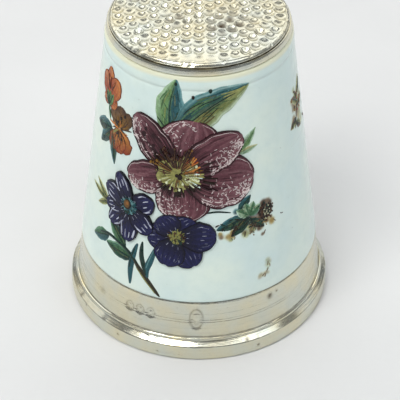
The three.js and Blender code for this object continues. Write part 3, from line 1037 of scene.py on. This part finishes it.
def top_leaf_left(coat):
    leaf(coat, (0.1, -0.5), 86, 4.5, 2.1, LEAF_LIGHT, TEAL, 0.25)
    coat.dot(0.4, 3.6, 0.13, LEAF_DARK, 2 * BRUSH_STEP)
    coat.stroke([(-0.9, 0.9), (-0.4, 0.3), (0.1, -0.1)], 0.15, LEAF_DARK, 2 * BRUSH_STEP)


def top_leaf_right(coat):
    """A long leaf with teal and olive sides and a yellow-green tip, over a short leaf beside it."""
    leaf(coat, (-1.2, -1.2), 58, 3.9, 1.9, LEAF_DARK, TEAL, 0.25, 0.0, 3)
    dark_side = between(TEAL, LEAF_DARK, 0.35)
    pale_side = between(OLIVE, LEAF, 0.4)
    long_leaf = leaf(coat, (-1.0, -1.0), 36, 6.5, 2.6, dark_side, pale_side, 0.6, PETAL_STEP, 4, 0.7)
    long_leaf.lines((-0.5, -0.2, 0.1, 0.4), 0.66, 0.97, 0.2, (YELLOW_GREEN, LEAF), (0, 0.4), -1)
    long_leaf.lines((-0.3, -0.45, -0.6), 0.3, 0.62, 0.2, (LEAF, LEAF_LIGHT), (0, 0.8))
    long_leaf.lines((0.15, 0.3, 0.45, 0.6), 0.12, 0.55, 0.22, (BROWN, OLIVE), (0.1, 0.6))
    for t in (-0.7, -0.4, 0.2, 0.5):
        start = coat.random.uniform(0.15, 0.4)
        long_leaf.line(start, start + 0.3, t, 0.12, between(LEAF_DARK, UMBER, 0.4), 1.6, -0.4 * t)
    coat.dot(*long_leaf.at(0.47, -0.95), 0.13, UMBER, PETAL_STEP + 2 * BRUSH_STEP)
    coat.dot(*long_leaf.at(0.62, -0.95), 0.15, LEAF_DARK, PETAL_STEP + 2 * BRUSH_STEP)


def orange_bud(coat):
    petals = ((190, 0.9, 1.0), (-10, 0.95, 1.1), (96, 2.5, 1.1), (118, 2.1, 1.4), (66, 2.1, 1.6))
    for i, shape in enumerate(petals):
        petal = Petal(coat, *shape, base=(0, -0.5), belly=1.0, lift=0.006 * i)
        petal.fill(lambda s, t: blend(ORANGE, ORANGE_LIGHT, s - 0.25 + 0.4 * t + petal.streaks(s, t)))
        petal.margin(0.08, between(ORANGE, MAROON, 0.55))
        petal.line(0.3, 0.8, -0.4, 0.12, between(ORANGE, BROWN, 0.5))
    coat.fan(5, (60, 120), (1.0, 1.5), (BROWN, MAROON), 0.2, 0.09, 2 * BRUSH_STEP + 0.02)
    for direction in (112, 68, 90):
        leaf(coat, (0, -1.0), direction, 1.2, 0.5, LEAF, LEAF_LIGHT, lift=PETAL_STEP + 0.02, veins=1, fade=0)
    coat.stroke([(0, -0.8), (0.05, -1.3), (0.35, -2.0)], 0.24, LEAF, PETAL_STEP)


def ochre_blossom(coat):
    brown = lambda s, t: blend(OCHRE, BROWN, 1.2 * s - 0.3 + 0.4 * np.abs(t))
    amber = between(ORANGE_LIGHT, OCHRE, 0.4)
    rust = between(ORANGE, BROWN, 0.3)
    warm = lambda s, t: blend(amber, rust, 1.6 * s - 0.5 + 0.3 * t)
    for direction in (58, 90, 122):
        petal = Petal(coat, direction, 1.8, 1.2, ripple=0.08)
        petal.fill(brown)
        petal.margin(0.08, BROWN)
    for direction in (-112, -85, -58):
        petal = Petal(coat, direction, 1.95, 1.3, ripple=0.08, lift=0.006)
        petal.fill(warm)
        petal.margin(0.09, between(ORANGE, MAROON, 0.6))
    coat.fan(22, (60, 410), (0.6, 1.3), (OCHRE, BROWN, ORANGE_LIGHT, OLIVE, UMBER), 0.1, 0.16, 2 * BRUSH_STEP)
    for u, v in ((-0.2, 0.5), (0.25, 0.1), (0.1, 0.9), (-0.15, -0.4), (0.3, -0.7), (0.45, 1.2)):
        coat.dot(u, v, 0.12, UMBER, 3 * BRUSH_STEP)


def teal_leaves(coat):
    for shape in ((195, 2.3, 1.2), (232, 2.3, 1.1), (283, 2.8, 0.8)):
        leaf(coat, (0.5, 0.5), *shape, LEAF_DARK, TEAL, veins=2, fade=0.4)
    coat.dot(-0.3, 0.1, 0.13, LEAF_DARK, 2 * BRUSH_STEP)


def olive_sprig(coat):
    for shape in ((148, 2.1, 0.7), (172, 2.5, 0.6), (212, 1.6, 0.6)):
        leaf(coat, (1.1, -0.3), *shape, OLIVE, YELLOW_GREEN, veins=1, fade=0.8)


def leafy_stem(coat):
    """A bowed stem from the far left to the foot of the enamel, with three dark leaves."""
    leaf(coat, (-1.8, 0.8), 205, 2.2, 1.1, TEAL, LEAF, veins=2, fade=0.4)
    leaf(coat, (-0.1, 0.6), 135, 2.4, 1.1, LEAF, LEAF_DARK, veins=2, fade=0.4)
    leaf(coat, (0.6, 0.0), 176, 2.7, 1.2, LEAF_DARK, LEAF, veins=3, fade=0.5)
    stem = [(-3.0, 0.5), (-1.6, 0.9), (0.2, 0.4), (1.5, -1.0), (3.0, -2.6)]
    coat.stroke(stem, 0.36, LEAF_DARK, PETAL_STEP, 0.3, 24)
    bark = between(LEAF_DARK, BROWN, 0.45)
    coat.stroke([(0.6, 0.05), (1.6, -1.1), (3.0, -2.6)], 0.5, bark, 1.5 * PETAL_STEP, 0.5, 16)
    coat.stroke([(0.9, -0.5), (1.6, -1.25), (2.7, -2.4)], 0.16, OLIVE, PETAL_STEP + 2 * BRUSH_STEP, 0.4, 16)


def violet_stem(coat):
    coat.stroke([(0.4, 1.2), (0.0, -0.1), (-0.3, -1.0), (-0.2, -1.8)], 0.6, TEAL, taper=0.5, steps=16)
    coat.stroke([(0.3, 1.0), (-0.1, -0.1), (-0.35, -1.0)], 0.14, TEAL_LIGHT, 2 * BRUSH_STEP, 0.4, 12)
    coat.stroke([(-0.7, 1.3), (-0.75, 0.1), (-0.5, -0.9), (-0.2, -1.8)], 0.5, LEAF_DARK, taper=0.5, steps=16)


def drooping_stem(coat):
    coat.stroke([(0.35, 1.6), (0.0, 0.3), (-0.15, -0.9), (-0.1, -2.2)], 0.6, TEAL, taper=0.5, steps=16)
    coat.stroke([(0.25, 1.4), (-0.1, 0.2), (-0.25, -0.9)], 0.16, LEAF_DARK, 2 * BRUSH_STEP, 0.4, 12)


def small_sprig(coat):
    leaf(coat, (-0.7, -0.5), 50, 2.1, 0.8, SAGE, LEAF_LIGHT, veins=2, fade=0.9, rib=LEAF_LIGHT)
    leaf(coat, (-0.8, -0.6), 10, 1.6, 0.6, STRAW, SAGE, veins=1, fade=0.9, rib=SAGE)


def berry_sprig(coat):
    """Dark leaves and a dark berry in worn paint, with brown stains below and a faint patch low down."""
    random = coat.random
    clumps = (
        ((-0.2, 0.1), (0.6, 0.35), 22, (LEAF_DARK, TEAL, UMBER)),
        ((1.6, 0.1), (0.3, 0.42), 34, (UMBER, BROWN)),
        ((0.2, -0.9), (1.1, 0.3), 22, (BROWN, OLIVE, OCHRE)),
        ((0.9, -0.8), (0.5, 0.3), 14, (UMBER, BROWN)),
    )
    coat.smudge(clumps, (0.1, 0.26), 0.85)
    coat.stroke([(-3.3, 0.9), (-2.2, 1.05), (-1.0, 0.8)], 0.2, LEAF_DARK, taper=0.5)
    leaf(coat, (-0.1, 0.3), 200, 2.3, 1.0, LEAF_DARK, TEAL, fade=0.3)
    leaf(coat, (0.2, 0.1), 222, 1.9, 0.9, LEAF_DARK, UMBER, lift=0.005, fade=0.2)
    leaf(coat, (-0.6, 0.8), 48, 1.5, 0.7, TEAL, LEAF_DARK, fade=0.3)
    leaf(coat, (0.3, -0.1), 318, 1.5, 0.7, LEAF_DARK, UMBER, fade=0.3)
    for direction in (36, 70, 105, 145):
        leaf(coat, (0.2, 0.25), direction, 1.15, 0.8, SAGE, LEAF, lift=0.01, veins=1, rib=LEAF)
    for _ in range(14):
        start = (-0.2, -0.1) + random.normal(0, 1, 2) * (0.7, 0.2)
        reach = heading(random.uniform(150, 240)) * random.uniform(0.3, 0.8)
        tint = random.choice([UMBER, LEAF_DARK])
        coat.stroke([start, start + reach * 0.6, start + reach], 0.16, tint, 2 * BRUSH_STEP)
    for _ in range(90):
        u, v = (1.6, 0.12) + np.clip(random.normal(0, 1, 2), -2, 2) * (0.3, 0.38)
        radius = random.uniform(0.06, 0.14)
        coat.dot(u, v, radius, random.choice([UMBER, UMBER, BROWN, LEAF_DARK]), 2 * BRUSH_STEP)
    for _ in range(16):
        u, v = (1.65, 0.2) + random.normal(0, 1, 2) * (0.22, 0.3)
        coat.dot(u, v, 0.05, between(CREAM, BROWN, random.uniform(0, 0.6)), 3 * BRUSH_STEP)
    for _ in range(30):
        start = (0.6, -0.7) + random.normal(0, 1, 2) * (0.9, 0.3)
        reach = heading(random.uniform(190, 350)) * random.uniform(0.15, 0.5)
        tint = random.choice([BROWN, OCHRE, LEAF_DARK, UMBER])
        bend = start + reach / 2 + random.normal(0, 0.05, 2)
        coat.stroke([start, bend, start + reach], random.uniform(0.06, 0.14), tint, cover=0.7)
    worn = ((1.6, -4.4), (0.12, 0.3), 10, (BROWN, OLIVE)), ((1.2, -5.1), (0.2, 0.16), 10, (BROWN, OCHRE))
    coat.smudge(worn, (0.08, 0.2), 0.35)
    faint = ((1.55, -4.3, 80), (1.72, -4.5, 95), (1.5, -4.8, 60), (1.15, -5.1, 40), (1.3, -5.2, 75))
    for u, v, turn in faint:
        reach = heading(turn) * 0.2
        coat.stroke([(u, v) - reach, (u + 0.04, v), (u, v) + reach], 0.1, BROWN, cover=0.5)


def side_spray(coat):
    """A faded spray in sepia and ochre."""
    coat.smudge([((0, 0.2), (0.5, 0.8), 40, (BROWN, OCHRE, OLIVE))], strength=0.6)
    coat.stroke([(-0.9, -1.4), (-0.3, 0), (0.4, 1.8)], 0.16, BROWN, taper=0.4, steps=16)
    leaves = (
        ((0.2, 1.0), 60, 1.4), ((0.0, 0.6), 150, 1.3), ((-0.5, -0.6), 200, 1.2),
        ((-0.2, 0.2), 10, 1.5), ((-0.6, -0.9), -40, 1.2), ((-0.1, 0.4), 105, 1.2),
    )
    for base, direction, length in leaves:
        leaf(coat, base, direction, length, 0.7, OLIVE, BROWN, veins=1)
    for _ in range(16):
        u, v = coat.random.normal(0, 0.7, 2)
        tint = coat.random.choice([ORANGE, OCHRE, BROWN])
        coat.dot(0.3 + u, 0.5 + v, coat.random.uniform(0.06, 0.14), tint, 2 * BRUSH_STEP)


def olive_eye(coat):
    flower_eye(coat, 0.62, (OLIVE, LEAF_DARK, BROWN, UMBER, OLIVE, LEAF_DARK))


def teal_eye(coat):
    flower_eye(coat, 0.7, (TEAL, TEAL_LIGHT, TEAL, LEAF_DARK), between(BROWN, OCHRE, 0.5))


# Each motif's glaze and drawing, and its coat's azimuth, height, lift and seed
MOTIFS = {
    "mauve_flower": ("mauve", mauve_flower, -11, 15.3, 0.07, 10),
    "mauve_flower_heart": ("yellow_green", mauve_flower_heart, -11, 15.3, 0.16, 11),
    "violet_flower_right": ("violet", violet_flower_right, -11, 10.2, 0.12, 12),
    "violet_flower_right_eye": ("olive", olive_eye, -11, 10.2, 0.17, 40),
    "violet_flower_left": ("violet", violet_flower_left, -37, 11.6, 0.15, 13),
    "violet_flower_left_eye": ("teal", teal_eye, -37.5, 11.7, 0.2, 41),
    "top_leaf_left": ("green", top_leaf_left, -17, 18.6, 0.01, 20),
    "top_leaf_right": ("green", top_leaf_right, -6, 19, 0.01, 21),
    "orange_bud": ("orange", orange_bud, -61, 19.3, 0.01, 22),
    "ochre_blossom": ("ochre", ochre_blossom, -49.5, 17.15, 0.01, 23),
    "teal_leaves": ("teal", teal_leaves, -60, 16.3, 0.01, 24),
    "olive_sprig": ("olive", olive_sprig, -61, 11.2, 0.01, 25),
    "leafy_stem": ("green", leafy_stem, -38, 7.4, 0.01, 26),
    "violet_stem": ("teal", violet_stem, -24, 7.9, 0.02, 27),
    "drooping_stem": ("teal", drooping_stem, -34, 7.3, 0.02, 28),
    "small_sprig": ("olive", small_sprig, 28, 17.2, 0.01, 29),
    "berry_sprig": ("sepia", berry_sprig, 25, 11.2, 0.01, 30),
    "side_spray": ("sepia", side_spray, 74, 17.2, 0.01, 31),
}

# ---- The studio ----


FLOOR_SIDE = 600 * MM
FLOOR_TONES = ((0.70, 0.71, 0.72), (0.74, 0.75, 0.76))
SKY_COLOUR = (0.9, 0.94, 1.0, 1)
SKY_STRENGTH = 0.22
WHITE_LIGHT = (1, 0.99, 0.96)
WARM_LIGHT = (1, 0.97, 0.9)
# Each soft box's azimuth, elevation, distance, width, height, power and tint
LIGHTS = {
    "key": (-35, 55, 320, 150, 150, 0.46, (1, 0.98, 0.94)),
    "fill": (60, 40, 380, 200, 200, 0.14, (0.93, 0.97, 1)),
    "overhead_back": (180, 57, 340, 560, 180, 0.42, WHITE_LIGHT),
    "overhead_front": (0, 68, 340, 560, 180, 0.42, WHITE_LIGHT),
    "back": (180, 30, 430, 900, 200, 0.5, WHITE_LIGHT),
    "left": (-112, 30, 420, 360, 240, 0.22, WARM_LIGHT),
    "right": (115, 24, 420, 300, 120, 0.08, WARM_LIGHT),
}


def pale_floor():
    tree = Tree("pale_floor")
    tone = tree.mix(tree.spread(tree.noise(0.05, 3), 0.3, 0.7), *FLOOR_TONES)
    material = tree.finish(Base_Color=tone, Roughness=0.85, Normal=tree.bump(tree.noise(1.5, 3), 0.02))
    mesh = bpy.data.meshes.new("floor")
    corners = [(x * FLOOR_SIDE, y * FLOOR_SIDE, 0) for x, y in ((-1, -1), (1, -1), (1, 1), (-1, 1))]
    mesh.from_pydata(corners, [], [(0, 1, 2, 3)])
    mesh.materials.append(material)
    floor = bpy.data.objects.new("floor", mesh)
    bpy.context.scene.collection.objects.link(floor)


def area_light(name, azimuth, elevation, distance, width, height, power, tint):
    """A soft box that faces the thimble's middle. Distances and sizes are in millimetres."""
    lamp = bpy.data.lights.new(name, "AREA")
    lamp.shape = "RECTANGLE"
    lamp.size = width * MM
    lamp.size_y = height * MM
    lamp.energy = power
    lamp.color = tint
    light = bpy.data.objects.new(name, lamp)
    turn, rise = math.radians(azimuth), math.radians(elevation)
    out = Vector((math.sin(turn) * math.cos(rise), -math.cos(turn) * math.cos(rise), math.sin(rise)))
    light.location = Vector((0, 0, 12 * MM)) + out * distance * MM
    light.rotation_euler = out.to_track_quat("Z", "Y").to_euler()
    bpy.context.scene.collection.objects.link(light)


def studio():
    for name, light in LIGHTS.items():
        area_light(name, *light)
    world = bpy.data.worlds.new("studio")
    world.use_nodes = True
    background = world.node_tree.nodes["Background"]
    background.inputs["Color"].default_value = SKY_COLOUR
    background.inputs["Strength"].default_value = SKY_STRENGTH
    bpy.context.scene.world = world
    bpy.context.scene.view_settings.view_transform = "Standard"


VIEW_ELEVATION = 38.24
VIEW_ROLL = 0.15
VIEW_DISTANCE = 148.2
VIEW_TARGET = (0.09, 0.0, 7.23)
VIEW_LENS = 180


def camera():
    lens = bpy.data.cameras.new("camera")
    lens.sensor_width = 36
    lens.lens = VIEW_LENS
    lens.clip_start = 0.005
    lens.clip_end = 10
    eye = bpy.data.objects.new("camera", lens)
    rise = math.radians(VIEW_ELEVATION)
    back = Vector((0, -math.cos(rise), math.sin(rise)))
    eye.location = (Vector(VIEW_TARGET) + back * VIEW_DISTANCE) * MM
    upright = (-back).to_track_quat("-Z", "Y").to_matrix()
    eye.rotation_euler = (Matrix.Rotation(math.radians(VIEW_ROLL), 3, back) @ upright).to_euler()
    bpy.context.scene.collection.objects.link(eye)
    bpy.context.scene.camera = eye


# ---- The assembled scene ----

plain_metal = silver_gilt("silver_gilt", 0.10)
cap_metal = silver_gilt("dimpled_silver_gilt", 0.15)
paint = overglaze()

side = turned("side_metal", side_wall_profile(), plain_metal, band_relief, band_tarnish_and_shade)
rim = turned("rolled_rim", rim_profile(), plain_metal, rim_relief, rim_stain)
cap = turned("dimpled_dome", cap_profile(), cap_metal, cap_relief, cap_shade_and_reflections)
enamel = turned("white_glaze", enamel_profile(), white_enamel())
place(side, "silver_gilt", "side_wall")
place(rim, "silver_gilt", "foot_rim")
place(cap, "dimpled_silver_gilt", "dimpled_cap")
place(enamel, "white_enamel", "enamel_sleeve")
for motif, (tone, draw, *centre, seed) in MOTIFS.items():
    coat = Coat(*centre, SEED + seed)
    draw(coat)
    coat.build(motif, f"{tone}_overglaze", paint)

pale_floor()
studio()
camera()
